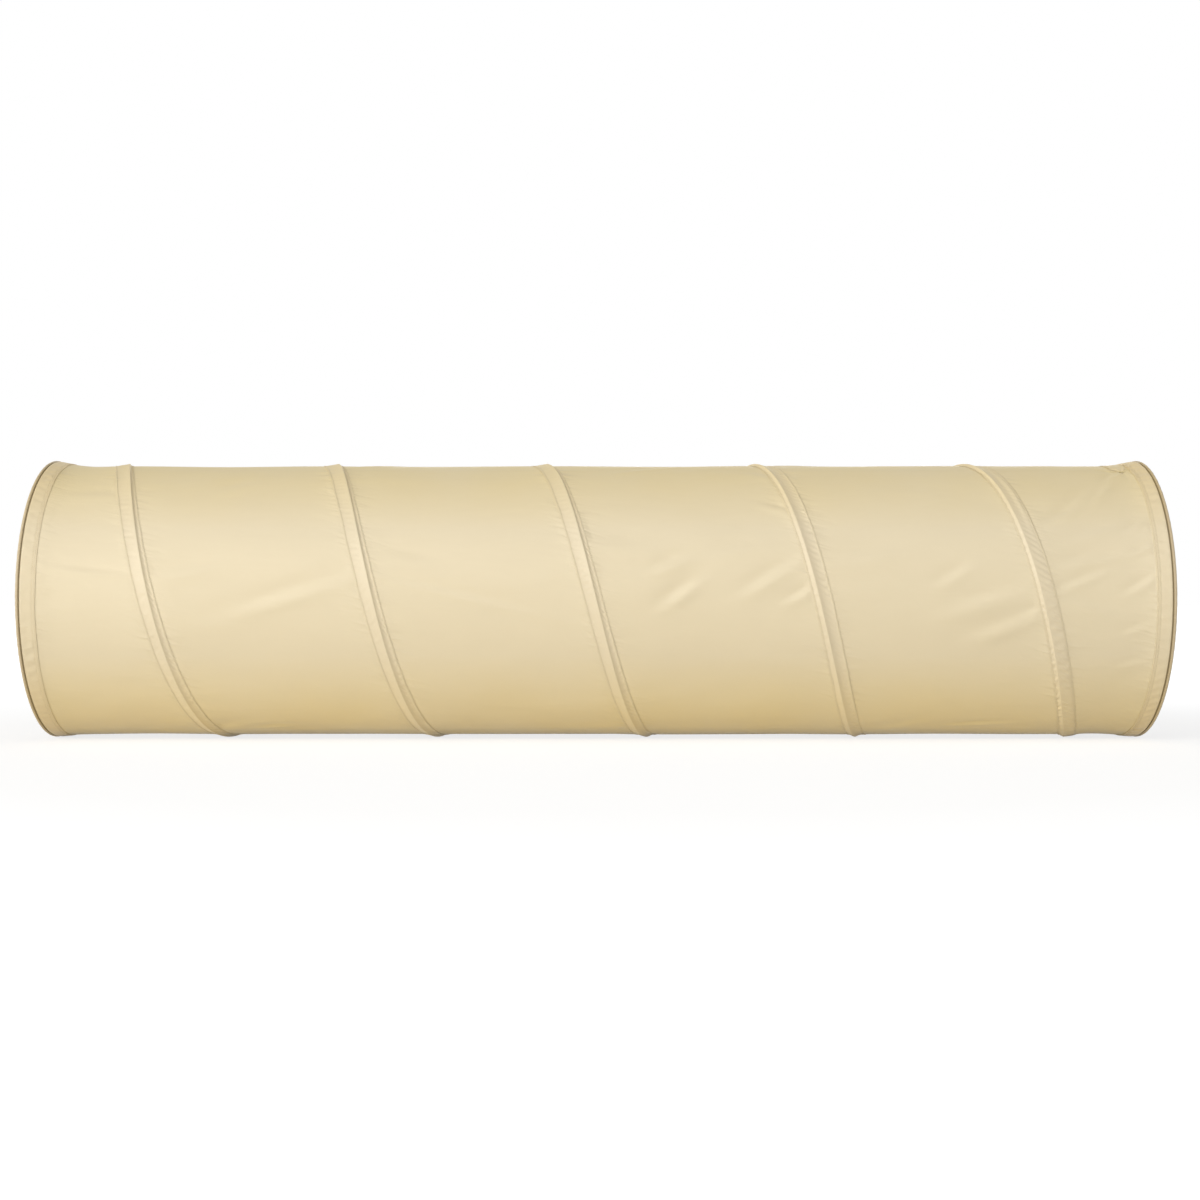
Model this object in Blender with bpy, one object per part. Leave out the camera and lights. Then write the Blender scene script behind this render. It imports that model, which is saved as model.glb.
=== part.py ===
"""Pop-up play tunnel, in metres, +Z up: a cloth tube on one coil of spring wire, with a wire hoop at each end.

The tunnel lies along X on the floor z = 0, and its middle is over the origin. The coil is a right-hand
helix about +X. A place on it is given in turns: a whole number is on top, a quarter later is the front
(-Y), a half is on the floor. Every hoop, tube and coil is faceted alike, SIDES flats to a turn with one
flat square on the floor, so that pieces that lie on each other keep one clearance all the way round.
The coil crosses the top once a turn, and the cloth, the casing and the wire are parted there: each
stretch between two crossings, a bay, folds flat by itself.
"""

import math

import bmesh
import bpy
from mathutils import Matrix, Vector

# The whole tunnel
TUNNEL_LENGTH = 1.800
RING_DIAMETER = 0.460  # over an end hoop's piping
RING_STAND = 0.0065  # how far a ring stands proud of the cloth tube, measured on the radius
FIRST_CROSSING = 0.1200  # from the left end to the coil's first crossing of the top
COIL_PITCH = 0.3468

# Wire, cloth and the air between touching pieces
COIL_WIRE = 0.003  # diameter
HOOP_WIRE = 0.003  # diameter
CLOTH = 0.0004
GAP = 0.0003

# The casing, a strip of cloth sewn over the coil
CASING_WIDTH = 0.030
CASING_SEAM = 0.0016  # the flat cloth along each edge, which the stitching holds down

# The ends
PIPING_WALL = 0.0007  # rolled cloth over the thickest thing in the piping
HEM_WIDTH = 0.0236
HEM_STEP = 0.0010  # from the piping's top down to the hem's
HEM_LAP = 0.0060  # how far the cloth tube is tucked into the hem
HEM_LEAF = 0.0033  # how much shorter the hem's inner leaf is than its outer one
FLARE_LENGTH = 0.068  # from the tunnel's end to where the cloth tube is straight
SLEEVE_LENGTH = 0.024  # crimped over the butt of a hoop wire
SLEEVE_WALL = 0.0004
CAP_LENGTH = 0.014  # on an end of the coil wire
CAP_WALL = 0.0004

# Counts, and shares of the sizes above
SIDES = 36
PIPING_SIDES = 8
WIRE_BEVEL_STEPS = 1  # a wire's section has six sides
SPUN_STEPS = 12
FLARE_STEPS = 3
FOOT_SHARE = 1.75  # the nearest that the wire comes to a seam, as a share of the ridge's radius
CREST_SHARE = math.tan(math.pi / 6)  # half the ridge's width on top, a side of the wire's hexagon
FLARE_POWER = 2
SWAY_HOLD = 0.35  # how much less of its sway the ridge gives up, each turn after it changes edges
RUN_OUT_TURNS = 0.386  # over which the coil stops travelling as it nears a hem
TAIL_TURNS = 0.02  # and how much further it runs beside that hem
SLEEVE_TURN = 0.75  # the back, where a hoop wire is butted
SHARP_ANGLE = math.radians(40)

# Half sizes
HALF_LENGTH = TUNNEL_LENGTH / 2
RING_RADIUS = RING_DIAMETER / 2
SKIN_RADIUS = RING_RADIUS - RING_STAND
COIL_WIRE_RADIUS = COIL_WIRE / 2
HOOP_WIRE_RADIUS = HOOP_WIRE / 2
CASING_HALF = CASING_WIDTH / 2

# What is held in a channel sets the channel's size
SLEEVE_BORE = HOOP_WIRE_RADIUS + GAP
SLEEVE_RADIUS = SLEEVE_BORE + SLEEVE_WALL
PIPING_RADIUS = SLEEVE_RADIUS + GAP + PIPING_WALL
PIPING_CENTRE = RING_RADIUS - PIPING_RADIUS
CAP_BORE = COIL_WIRE_RADIUS + GAP
CAP_RADIUS = CAP_BORE + CAP_WALL
RIDGE_RADIUS = CAP_RADIUS + GAP + CLOTH  # the casing's ridge at its widest, over a cap

# The hem, measured inwards from a tunnel's end
HEM_START = 2 * PIPING_RADIUS + GAP
HEM_EDGE = HEM_START + HEM_WIDTH
HEM_ROOT = HEM_EDGE - HEM_LAP - GAP  # the bottom of the fold that the cloth tube is tucked into
SKIN_START = HEM_ROOT + GAP
LAID_TOP = GAP + CLOTH  # the top of cloth laid on the cloth tube, above the tube's outside
LAID_UNDER = CLOTH + GAP  # the top of cloth laid inside the tube, below its outside
FLARE_RISE = RING_STAND - HEM_STEP - LAID_TOP

# The cloth tube hangs so low that the casing touches the floor between the rings
COVER_RADIUS = SKIN_RADIUS + 2 * GAP + COIL_WIRE + CLOTH
RING_HEIGHT = RING_RADIUS
BODY_HEIGHT = COVER_RADIUS

# The coil's course along X
WIRE_SWAY = CASING_HALF - RIDGE_RADIUS * FOOT_SHARE - CASING_SEAM  # off the casing's middle
WIRE_MARGIN = HEM_EDGE + GAP + CASING_HALF - WIRE_SWAY  # from a tunnel's end to the coil's end
FIRST_TOP = FIRST_CROSSING - HALF_LENGTH
COIL_START = WIRE_MARGIN - HALF_LENGTH
COIL_END = HALF_LENGTH - WIRE_MARGIN
TURNS_IN = (FIRST_TOP - COIL_START) / COIL_PITCH
TURNS_TO_END = (COIL_END - FIRST_TOP) / COIL_PITCH
RUN_IN = min(RUN_OUT_TURNS, 2 * TURNS_IN)
FULL_BAYS = int(TURNS_TO_END - RUN_OUT_TURNS / 2)
RUN_IN_STARTS = RUN_IN / 2 - TURNS_IN
RUN_OUT_STARTS = TURNS_TO_END - RUN_OUT_TURNS / 2
SWAY_FLIPS = (FULL_BAYS + 1) / 2  # the turn where the ridge changes to the casing's other edge

STEP = 1 / SIDES
SLIT = GAP / (2 * math.tau * SKIN_RADIUS)  # half the gap between two bays, in turns


def corner_after(turn):
    """The first corner of the facets at or after a turn."""
    return (math.ceil(turn * SIDES - 0.5) + 0.5) * STEP


def corner_before(turn):
    """The last corner of the facets at or before a turn."""
    return (math.floor(turn * SIDES - 0.5) + 0.5) * STEP


FIRST_TURN = corner_before(RUN_IN_STARTS - RUN_IN - TAIL_TURNS)
LAST_TURN = corner_after(RUN_OUT_STARTS + RUN_OUT_TURNS + TAIL_TURNS)


def stations(first, last):
    """The two given turns, and the facets' corners between them."""
    corners = []
    turn = corner_after(first + STEP / SIDES)
    while turn < last - STEP / SIDES:
        corners.append(turn)
        turn += STEP
    return [first, *corners, last]


def flare(x):
    """How much of the end's flare the cloth has at x: 0 in the middle, 1 where the hem starts."""
    inwards = HALF_LENGTH - abs(x)
    rings = flare_rings()
    if inwards >= rings[-1]:
        return 0
    for near, far in zip(rings, rings[1:]):
        if inwards <= far:
            along = (inwards - near) / (far - near)
            return curve_of_flare(near) * (1 - along) + curve_of_flare(far) * along
    return 0


def curve_of_flare(inwards):
    """The flare's own curve, at a distance inwards from the tunnel's end."""
    share = (FLARE_LENGTH - inwards) / (FLARE_LENGTH - HEM_START)
    return share**FLARE_POWER


def flare_rings():
    """Distances inwards from the tunnel's end at which the flaring cloth is bent."""
    run = (FLARE_LENGTH - HEM_EDGE) / FLARE_STEPS
    middle = (HEM_START + HEM_ROOT) / 2
    return [HEM_START, middle, HEM_ROOT, *(HEM_EDGE + run * step for step in range(FLARE_STEPS + 1))]


def skin_radius(x):
    """The cloth tube's outer radius at x."""
    return SKIN_RADIUS + FLARE_RISE * flare(x)


def axis_height(x):
    """The height of the tunnel's axis at x: it rises a little towards the end rings."""
    return BODY_HEIGHT + (RING_HEIGHT - BODY_HEIGHT) * flare(x)


def place(x, radius, turn, height=None):
    """The point at a radius from the axis, on the facet that a turn falls on."""
    off_flat = (turn * SIDES + 0.5) % 1 - 0.5
    reach = radius / math.cos(off_flat * STEP * math.tau)
    angle = turn * math.tau
    height = axis_height(x) if height is None else height
    return Vector((x, -reach * math.sin(angle), height + reach * math.cos(angle)))


def wire_x(turn):
    """How far along X the coil is: one pitch a turn, except where it comes to rest beside a hem."""
    if turn < RUN_IN_STARTS:
        left = max(0, 1 - (RUN_IN_STARTS - turn) / RUN_IN)
        return COIL_START + COIL_PITCH * RUN_IN / 2 * left**2
    if turn > RUN_OUT_STARTS:
        left = max(0, 1 - (turn - RUN_OUT_STARTS) / RUN_OUT_TURNS)
        return COIL_END - COIL_PITCH * RUN_OUT_TURNS / 2 * left**2
    return FIRST_TOP + COIL_PITCH * turn


def sway(turn):
    """How far the wire lies to the right of its casing's middle: most on top, and least at the floor."""
    if turn < RUN_IN_STARTS:
        along = min(1, (RUN_IN_STARTS - turn) / RUN_IN)
        return WIRE_SWAY * math.cos(along * math.pi)
    if turn <= RUN_OUT_STARTS:
        side = 1 if turn < SWAY_FLIPS else -1
        given_up = 1 - SWAY_HOLD * max(0, math.floor(turn) - math.floor(SWAY_FLIPS))
        return side * WIRE_SWAY * (1 - given_up * (1 - math.cos(turn * math.tau)) / 2)
    along = min(1, (turn - RUN_OUT_STARTS) / RUN_OUT_TURNS)
    from_sway = sway(RUN_OUT_STARTS)
    return from_sway + (WIRE_SWAY - from_sway) * (1 - math.cos(along * math.pi)) / 2


def held_radius(turn):
    """The radius of what the casing's ridge covers: the wire, or at its two ends the wire's cap."""
    beside_end = min(turn - FIRST_TURN, LAST_TURN - turn) < STEP * 1.5
    return CAP_RADIUS if beside_end else COIL_WIRE_RADIUS


def wire_radius(turn):
    """How far from the axis the wire's middle is: what it holds lies on the cloth."""
    return skin_radius(wire_x(turn)) + GAP + held_radius(turn)


def wire_place(turn):
    """The wire's middle at a turn."""
    return place(wire_x(turn), wire_radius(turn), turn)


def material(name, colour, roughness, metallic=0.0):
    """A Principled material of one colour."""
    made = bpy.data.materials.new(name)
    made.use_nodes = True
    shader = made.node_tree.nodes["Principled BSDF"]
    shader.inputs["Base Color"].default_value = (*colour, 1)
    shader.inputs["Roughness"].default_value = roughness
    shader.inputs["Metallic"].default_value = metallic
    made.diffuse_color = (*colour, 1)
    return made


def frame_empty(name, x, parent=None):
    """An empty on the tunnel's axis, which one bay's pieces hang on and which slides along X."""
    empty = bpy.data.objects.new(name, None)
    bpy.context.scene.collection.objects.link(empty)
    empty.parent = parent
    empty.location = (x - (parent["x"] if parent else 0), 0, 0 if parent else BODY_HEIGHT)
    empty["x"] = x
    return empty


def hang(name, data, frame, finish):
    """Puts a mesh or curve, made in the tunnel's own frame, on its empty."""
    data.transform(Matrix.Translation((-frame["x"], 0, -BODY_HEIGHT)))
    data.materials.append(finish)
    piece = bpy.data.objects.new(name, data)
    bpy.context.scene.collection.objects.link(piece)
    piece.parent = frame
    return piece


def mesh_from(bm, name):
    """A smooth-shaded mesh with its faces pointing out."""
    bmesh.ops.recalc_face_normals(bm, faces=bm.faces)
    if bm.calc_volume(signed=True) < 0:
        bmesh.ops.reverse_faces(bm, faces=bm.faces)
    mesh = bpy.data.meshes.new(name)
    bm.to_mesh(mesh)
    bm.free()
    mesh.shade_smooth()
    mesh.set_sharp_from_angle(angle=SHARP_ANGLE)
    return mesh


def loft(name, sections, closed):
    """Joins loops of equally many points; a closed one joins its last loop to its first."""
    bm = bmesh.new()
    loops = [[bm.verts.new(point) for point in section] for section in sections]
    following = loops[1:] + loops[:1] if closed else loops[1:]
    for here, there in zip(loops, following):
        for i, corner in enumerate(here):
            bm.faces.new((corner, here[i - 1], there[i - 1], there[i]))
    if not closed:
        bm.faces.new(loops[0])
        bm.faces.new(reversed(loops[-1]))
    return mesh_from(bm, name)


def turned(name, outline, place_at):
    """Spins an outline of (radius, length along the axis) points into a closed piece."""
    bm = bmesh.new()
    corners = [bm.verts.new((radius, 0, along)) for radius, along in outline]
    edges = [bm.edges.new((corners[i - 1], corner)) for i, corner in enumerate(corners)]
    bmesh.ops.spin(
        bm,
        geom=corners + edges,
        cent=(0, 0, 0),
        axis=(0, 0, 1),
        angle=math.tau,
        steps=SPUN_STEPS,
        use_merge=True,
    )
    bmesh.ops.remove_doubles(bm, verts=bm.verts, dist=CLOTH * STEP)
    lone = [edge for edge in bm.edges if not edge.link_faces]
    bmesh.ops.delete(bm, geom=lone, context="EDGES")
    bm.transform(place_at)
    return mesh_from(bm, name)


def rod(name, points, radius):
    """A wire along the given points, with flat ends."""
    curve = bpy.data.curves.new(name, "CURVE")
    curve.dimensions = "3D"
    curve.bevel_depth = radius
    curve.bevel_resolution = WIRE_BEVEL_STEPS
    curve.use_fill_caps = True
    spline = curve.splines.new("POLY")
    spline.points.add(len(points) - 1)
    for spot, point in zip(spline.points, points):
        spot.co = (*point, 1)
    return curve


def around(outline_at):
    """One section at each corner of a full turn."""
    return [outline_at((side + 0.5) * STEP) for side in range(SIDES)]


def skin_bay(name, left, right):
    """A stretch of the cloth tube between two places along X."""
    bends = [side * (HALF_LENGTH - ring) for ring in flare_rings() for side in (-1, 1)]
    rings = sorted([left, right, *(x for x in bends if left < x < right)])

    def section(turn):
        outer = [place(x, skin_radius(x), turn) for x in rings]
        inner = [place(x, skin_radius(x) - CLOTH, turn) for x in reversed(rings)]
        return outer + inner

    return loft(name, around(section), closed=True)


def casing_section(turn):
    """The casing across its run: cloth drawn tight from a flat seam up over the wire and down to the other."""
    x = wire_x(turn)
    middle = x - sway(turn)
    held = held_radius(turn)
    inner = held + GAP
    outer = inner + CLOTH
    ends = (middle - CASING_HALF, middle + CASING_HALF)
    seams = (ends[0] + CASING_SEAM, ends[1] - CASING_SEAM)
    over = [
        (ends[0], LAID_TOP),
        (seams[0], LAID_TOP),
        (x - outer * CREST_SHARE, GAP + held + outer),
        (x + outer * CREST_SHARE, GAP + held + outer),
        (seams[1], LAID_TOP),
        (ends[1], LAID_TOP),
    ]
    under = [
        (ends[1], GAP),
        (seams[1], GAP),
        (x + inner * CREST_SHARE, GAP + held + inner),
        (x - inner * CREST_SHARE, GAP + held + inner),
        (seams[0], GAP),
        (ends[0], GAP),
    ]
    return [place(spot, skin_radius(spot) + lift, turn) for spot, lift in over + under]


def casing_bay(name, first, last):
    """A stretch of the casing."""
    return loft(name, [casing_section(turn) for turn in stations(first, last)], closed=False)


def coil_end(turn, inner_turn):
    """The coil's end corner, the way out along the wire there, and where the wire stops in its cap."""
    tip = wire_place(turn)
    outwards = (tip - wire_place(inner_turn)).normalized()
    return tip, outwards, tip - outwards * (2 * CAP_WALL + GAP)


def wire_bay(name, first, last):
    """A stretch of the coil wire, which stops inside its cap at either end of the coil."""
    turns = stations(first, last)
    points = [wire_place(turn) for turn in turns]
    if first == FIRST_TURN:
        points[0] = coil_end(first, turns[1])[2]
    if last == LAST_TURN:
        points[-1] = coil_end(last, turns[-2])[2]
    return rod(name, points, COIL_WIRE_RADIUS)


def coil_cap(name, turn, inner_turn):
    """A cup over an end of the coil wire, which keeps it from piercing the cloth."""
    tip, outwards, _ = coil_end(turn, inner_turn)
    bore = CAP_BORE / math.cos(math.pi / SPUN_STEPS)
    outline = [
        (0, 0),
        (CAP_RADIUS, 0),
        (CAP_RADIUS, -CAP_LENGTH),
        (bore, -CAP_LENGTH),
        (bore, -2 * CAP_WALL),
        (0, -2 * CAP_WALL),
    ]
    turned_to = outwards.to_track_quat("Z", "X").to_matrix().to_4x4()
    return turned(name, outline, Matrix.Translation(tip) @ turned_to)


def hem_band(name, side):
    """The cloth's end, rolled back on itself: a band with a fold that the cloth tube is tucked into."""
    middle = flare_rings()[1]
    leaf_end = HEM_EDGE - HEM_LEAF
    outline = [
        (HEM_START, LAID_TOP),
        (middle, LAID_TOP),
        (HEM_ROOT, LAID_TOP),
        (HEM_EDGE, LAID_TOP),
        (HEM_EDGE, GAP),
        (HEM_ROOT, GAP),
        (HEM_ROOT, -LAID_UNDER),
        (leaf_end, -LAID_UNDER),
        (leaf_end, -LAID_UNDER - CLOTH),
        (HEM_ROOT, -LAID_UNDER - CLOTH),
        (middle, -LAID_UNDER - CLOTH),
        (HEM_START, -LAID_UNDER - CLOTH),
    ]

    def section(turn):
        spots = [(side * (HALF_LENGTH - inwards), lift) for inwards, lift in outline]
        return [place(x, skin_radius(x) + lift, turn) for x, lift in spots]

    return loft(name, around(section), closed=True)


def edge_piping(name, side):
    """The rolled edge round a hoop: open towards the hem, and wider inside where the sleeve is."""
    steps = [(corner + 0.5) / PIPING_SIDES * math.tau for corner in range(PIPING_SIDES)]
    flat = math.cos(math.pi / PIPING_SIDES)
    opens = PIPING_SIDES // 4
    order = [(opens + corner) % PIPING_SIDES for corner in range(PIPING_SIDES)]

    def section(turn):
        by_sleeve = abs(turn - SLEEVE_TURN) < STEP
        bore = (SLEEVE_RADIUS if by_sleeve else HOOP_WIRE_RADIUS) + GAP
        outer = [(PIPING_RADIUS / flat, steps[corner]) for corner in order]
        inner = [(bore / flat, steps[corner]) for corner in reversed(order)]
        points = []
        for size, angle in outer + inner:
            x = side * (HALF_LENGTH - PIPING_RADIUS - size * math.sin(angle))
            points.append(place(x, PIPING_CENTRE + size * math.cos(angle), turn, RING_HEIGHT))
        return points

    return loft(name, around(section), closed=True)


def hoop_wire(name, side):
    """The end hoop, butted at the back."""
    x = side * (HALF_LENGTH - PIPING_RADIUS)
    turns = stations(SLEEVE_TURN - 1 + SLIT, SLEEVE_TURN - SLIT)
    return rod(name, [place(x, PIPING_CENTRE, turn, RING_HEIGHT) for turn in turns], HOOP_WIRE_RADIUS)


def hoop_sleeve(name, side):
    """The tube crimped over the hoop's butt."""
    half = SLEEVE_LENGTH / 2
    bore = SLEEVE_BORE / math.cos(math.pi / SPUN_STEPS)
    outline = [(bore, -half), (SLEEVE_RADIUS, -half), (SLEEVE_RADIUS, half), (bore, half)]
    x = side * (HALF_LENGTH - PIPING_RADIUS)
    return turned(name, outline, Matrix.Translation((x, PIPING_CENTRE, RING_HEIGHT)))


def least_gap_in_coil():
    """The least gap between two turns of the whole coil wire, measured on points along it."""
    turns = stations(FIRST_TURN, LAST_TURN)
    points = [wire_place(turn) for turn in turns]
    apart = SIDES // 2
    nearest = min(
        (points[i] - points[j]).length
        for i in range(len(points))
        for j in range(i + apart, len(points))
    )
    return nearest - COIL_WIRE


def build():
    for old in list(bpy.data.objects):
        bpy.data.objects.remove(old)

    beige = (0.78, 0.66, 0.43)
    skin_cloth = material("skin_cloth", beige, 0.62)
    casing_cloth = material("casing_cloth", (0.76, 0.64, 0.42), 0.65)
    hem_cloth = material("hem_cloth", (0.75, 0.63, 0.41), 0.65)
    piping_cloth = material("piping_cloth", (0.72, 0.60, 0.38), 0.7)
    spring_steel = material("spring_steel", (0.45, 0.45, 0.46), 0.35, metallic=1.0)
    crimp_steel = material("crimp_steel", (0.62, 0.62, 0.63), 0.4, metallic=1.0)
    cap_vinyl = material("cap_vinyl", (0.05, 0.05, 0.05), 0.5)

    # The bays start at the left hem's edge and at each top crossing, and the last ends at the right hem
    hem_left = HEM_EDGE - HALF_LENGTH
    tops = [FIRST_TOP + COIL_PITCH * turn for turn in range(FULL_BAYS + 1)]
    frames = [frame_empty("left_end_frame", hem_left)]
    for number, top in enumerate(tops, 1):
        frames.append(frame_empty(f"turn_{number}_frame", top, frames[-1]))
    right_frame = frame_empty("right_end_frame", HALF_LENGTH - HEM_EDGE, frames[-1])

    edges = [SKIN_START - HALF_LENGTH - GAP / 2, *tops, HALF_LENGTH - SKIN_START + GAP / 2]
    turns = [FIRST_TURN - SLIT, *range(FULL_BAYS + 1), LAST_TURN + SLIT]
    for number, frame in enumerate(frames, 1):
        left, right = edges[number - 1] + GAP / 2, edges[number] - GAP / 2
        first, last = turns[number - 1] + SLIT, turns[number] - SLIT
        first = FIRST_TURN if number == 1 else first
        last = LAST_TURN if number == len(frames) else last
        skin, casing, wire = (f"{piece}_bay_{number}" for piece in ("skin", "coil_casing", "coil_wire"))
        hang(skin, skin_bay(skin, left, right), frame, skin_cloth)
        hang(casing, casing_bay(casing, first, last), frame, casing_cloth)
        hang(wire, wire_bay(wire, first, last), frame, spring_steel)

    caps = ((FIRST_TURN, FIRST_TURN + STEP), (LAST_TURN, LAST_TURN - STEP))
    for end, side, frame, cap in (("left", -1, frames[0], caps[0]), ("right", 1, right_frame, caps[1])):
        hang(f"{end}_edge_piping", edge_piping("piping", side), frame, piping_cloth)
        hang(f"{end}_hoop_wire", hoop_wire("hoop", side), frame, spring_steel)
        hang(f"{end}_hoop_sleeve", hoop_sleeve("sleeve", side), frame, crimp_steel)
        hang(f"{end}_hem_band", hem_band("hem", side), frame, hem_cloth)
        hang(f"{end}_coil_end_cap", coil_cap("cap", *cap), frame, cap_vinyl)

    print(f"coil wire: {LAST_TURN - FIRST_TURN:.2f} turns, least gap to itself {least_gap_in_coil():.4f} m")


build()
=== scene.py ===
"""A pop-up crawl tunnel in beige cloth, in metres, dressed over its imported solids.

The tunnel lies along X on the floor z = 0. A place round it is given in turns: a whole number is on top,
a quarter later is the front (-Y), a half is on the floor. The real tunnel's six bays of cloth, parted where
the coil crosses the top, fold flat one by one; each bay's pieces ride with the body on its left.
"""

import math

import bmesh
import bpy
import numpy as np
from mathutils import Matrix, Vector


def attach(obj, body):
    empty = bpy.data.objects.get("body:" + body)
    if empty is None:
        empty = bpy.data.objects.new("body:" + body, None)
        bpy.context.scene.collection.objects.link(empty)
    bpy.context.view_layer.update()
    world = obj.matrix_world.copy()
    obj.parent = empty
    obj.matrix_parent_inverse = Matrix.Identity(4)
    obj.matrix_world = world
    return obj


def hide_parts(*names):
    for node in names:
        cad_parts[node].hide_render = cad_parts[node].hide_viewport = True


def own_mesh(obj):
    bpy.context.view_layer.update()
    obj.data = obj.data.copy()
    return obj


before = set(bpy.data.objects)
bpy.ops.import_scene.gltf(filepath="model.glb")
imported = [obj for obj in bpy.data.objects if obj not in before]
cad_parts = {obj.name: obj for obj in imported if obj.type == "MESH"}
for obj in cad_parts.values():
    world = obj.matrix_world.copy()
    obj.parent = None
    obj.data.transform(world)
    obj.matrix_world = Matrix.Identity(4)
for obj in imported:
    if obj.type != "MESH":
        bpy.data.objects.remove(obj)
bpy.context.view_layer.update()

# Camera: square on to the tunnel's side from three metres, at the height of its axis.
eye = bpy.data.objects.new("camera", bpy.data.cameras.new("camera"))
bpy.context.scene.collection.objects.link(eye)
eye.location = (0.006, -3.06, 0.228)
eye.rotation_euler = (math.pi / 2, 0, 0)
eye.data.lens = 54.9
eye.data.sensor_width = 36
bpy.context.scene.camera = eye
bpy.context.scene.view_settings.view_transform = "Standard"

# Lamps: a distant soft key from the left, a tall soft box before and above the tunnel, a low one along the
# floor, one behind, and an even pale room round them.
key = bpy.data.lights.new("left_key", "SUN")
key.energy = 1.27
key.angle = math.radians(24)
key.color = (1.0, 0.995, 0.985)
key_holder = bpy.data.objects.new("left_key", key)
bpy.context.scene.collection.objects.link(key_holder)
key_holder.rotation_euler = Vector((0.62, 0.70, -0.36)).to_track_quat("-Z", "Y").to_euler()


def soft_box(name, spot, towards, width, height, watts, colour):
    """A rectangular lamp at a spot, facing a point."""
    lamp = bpy.data.lights.new(name, "AREA")
    lamp.shape = "RECTANGLE"
    lamp.size = width
    lamp.size_y = height
    lamp.energy = watts
    lamp.color = colour
    holder = bpy.data.objects.new(name, lamp)
    bpy.context.scene.collection.objects.link(holder)
    holder.location = spot
    facing = Vector(towards) - Vector(spot)
    holder.rotation_euler = facing.to_track_quat("-Z", "Y").to_euler()


soft_box("tall_box", (-0.25, -3.1, 2.9), (0, 0, 0.2), 2.6, 4.2, 42, (1.0, 0.995, 0.985))
soft_box("low_box", (-2.3, -2.1, 0.17), (-0.1, 0, 0.05), 1.3, 0.28, 11.5, (1.0, 0.97, 0.92))
soft_box("back_box", (0.5, 4.2, 0.9), (0, 0, 0.2), 3.2, 1.4, 40, (1.0, 0.98, 0.94))


def maths(tree, operation, *values):
    """One Math node on values, each a number or another node's output, and its result."""
    node = tree.nodes.new("ShaderNodeMath")
    node.operation = operation
    for socket, value in zip(node.inputs, values):
        if isinstance(value, (int, float)):
            socket.default_value = value
        else:
            tree.links.new(value, socket)
    return node.outputs[0]


def looked_at(tree):
    """One for a ray from the camera, straight or by a mirror or glass, and zero for one that lights."""
    ray = tree.nodes.new("ShaderNodeLightPath").outputs
    straight = maths(tree, "MAXIMUM", ray["Is Camera Ray"], ray["Is Glossy Ray"])
    return maths(tree, "MAXIMUM", straight, ray["Is Transmission Ray"])


def glowing(tree, kind, colour, strength):
    """A shader node that gives off light of a colour, and its result."""
    node = tree.nodes.new(kind)
    node.inputs["Color"].default_value = (*colour, 1)
    node.inputs["Strength"].default_value = strength
    return node.outputs[0]


def end_in(tree, kind, share, first, second):
    """Ends a shader tree in a mix of two shaders at a share."""
    mix = tree.nodes.new("ShaderNodeMixShader")
    for socket, value in zip(mix.inputs, (share, first, second)):
        tree.links.new(value, socket)
    tree.links.new(mix.outputs[0], tree.nodes.new(kind).inputs["Surface"])


room = bpy.data.worlds.new("pale_room")
bpy.context.scene.world = room
room.use_nodes = True
tree = room.node_tree
tree.nodes.clear()
lit = glowing(tree, "ShaderNodeBackground", (1.0, 0.96, 0.90), 0.32)
shown = glowing(tree, "ShaderNodeBackground", (1, 1, 1), 1.0)
end_in(tree, "ShaderNodeOutputWorld", looked_at(tree), lit, shown)

# Floor: a plain pale sheet that runs out of sight, with the tunnel's soft shadow on it.
far = 60.0
floor_mesh = bpy.data.meshes.new("floor")
floor_mesh.from_pydata([(-far, -far, 0), (far, -far, 0), (far, far, 0), (-far, far, 0)], [], [(0, 1, 2, 3)])
floor = bpy.data.objects.new("floor", floor_mesh)
bpy.context.scene.collection.objects.link(floor)
pale = bpy.data.materials.new("pale_floor")
pale.use_nodes = True
tree = pale.node_tree
tree.nodes.clear()
where = tree.nodes.new("ShaderNodeTexCoord")
away = tree.nodes.new("ShaderNodeVectorMath")
away.operation = "LENGTH"
tree.links.new(where.outputs["Object"], away.inputs[0])
fading = tree.nodes.new("ShaderNodeMapRange")
fading.inputs["From Min"].default_value = 1.1
fading.inputs["From Max"].default_value = 3.2
fading.inputs["To Min"].default_value = 0.65
fading.inputs["To Max"].default_value = 1.0
tree.links.new(away.outputs["Value"], fading.inputs["Value"])
matt = tree.nodes.new("ShaderNodeBsdfDiffuse")
matt.inputs["Color"].default_value = (0.97, 0.94, 0.86, 1)
glow = glowing(tree, "ShaderNodeEmission", (0.97, 0.98, 1), 1.2)
share = maths(tree, "MULTIPLY", looked_at(tree), fading.outputs["Result"])
end_in(tree, "ShaderNodeOutputMaterial", share, matt.outputs[0], glow)
floor_mesh.materials.append(pale)

# The coil: one spring-steel wire of 3 mm, nearly five and a half turns of a right-hand spiral. It holds the
# tunnel open. It lies on the outside of the cloth tube and comes to rest beside each hem.
half_length = 0.900
cloth_radius = 0.2235
cloth_flare = 0.0048
ring_height = 0.2300
cloth_height = 0.2275
flare_begins = 0.068
hem_begins = 0.0067
hem_ends = 0.0303
wire_radius = 0.0015
cap_radius = 0.0022
air = 0.0003
pitch = 0.3468
first_top = -0.7800
ridge_sway = 0.008325
held_over = 0.35
rest_margin = 0.037275
coming_to_rest = 0.386
run_in_ends = coming_to_rest / 2 - (first_top + half_length - rest_margin) / pitch
run_out_begins = (half_length - rest_margin - first_top) / pitch - coming_to_rest / 2
corners = 36
coil_first, coil_last = -16.5 / corners, 178.5 / corners
wire_rows = 288
bays = 6
tops = first_top + pitch * np.arange(5)
bay_edges = [hem_ends - half_length, *tops, half_length - hem_ends]
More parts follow.
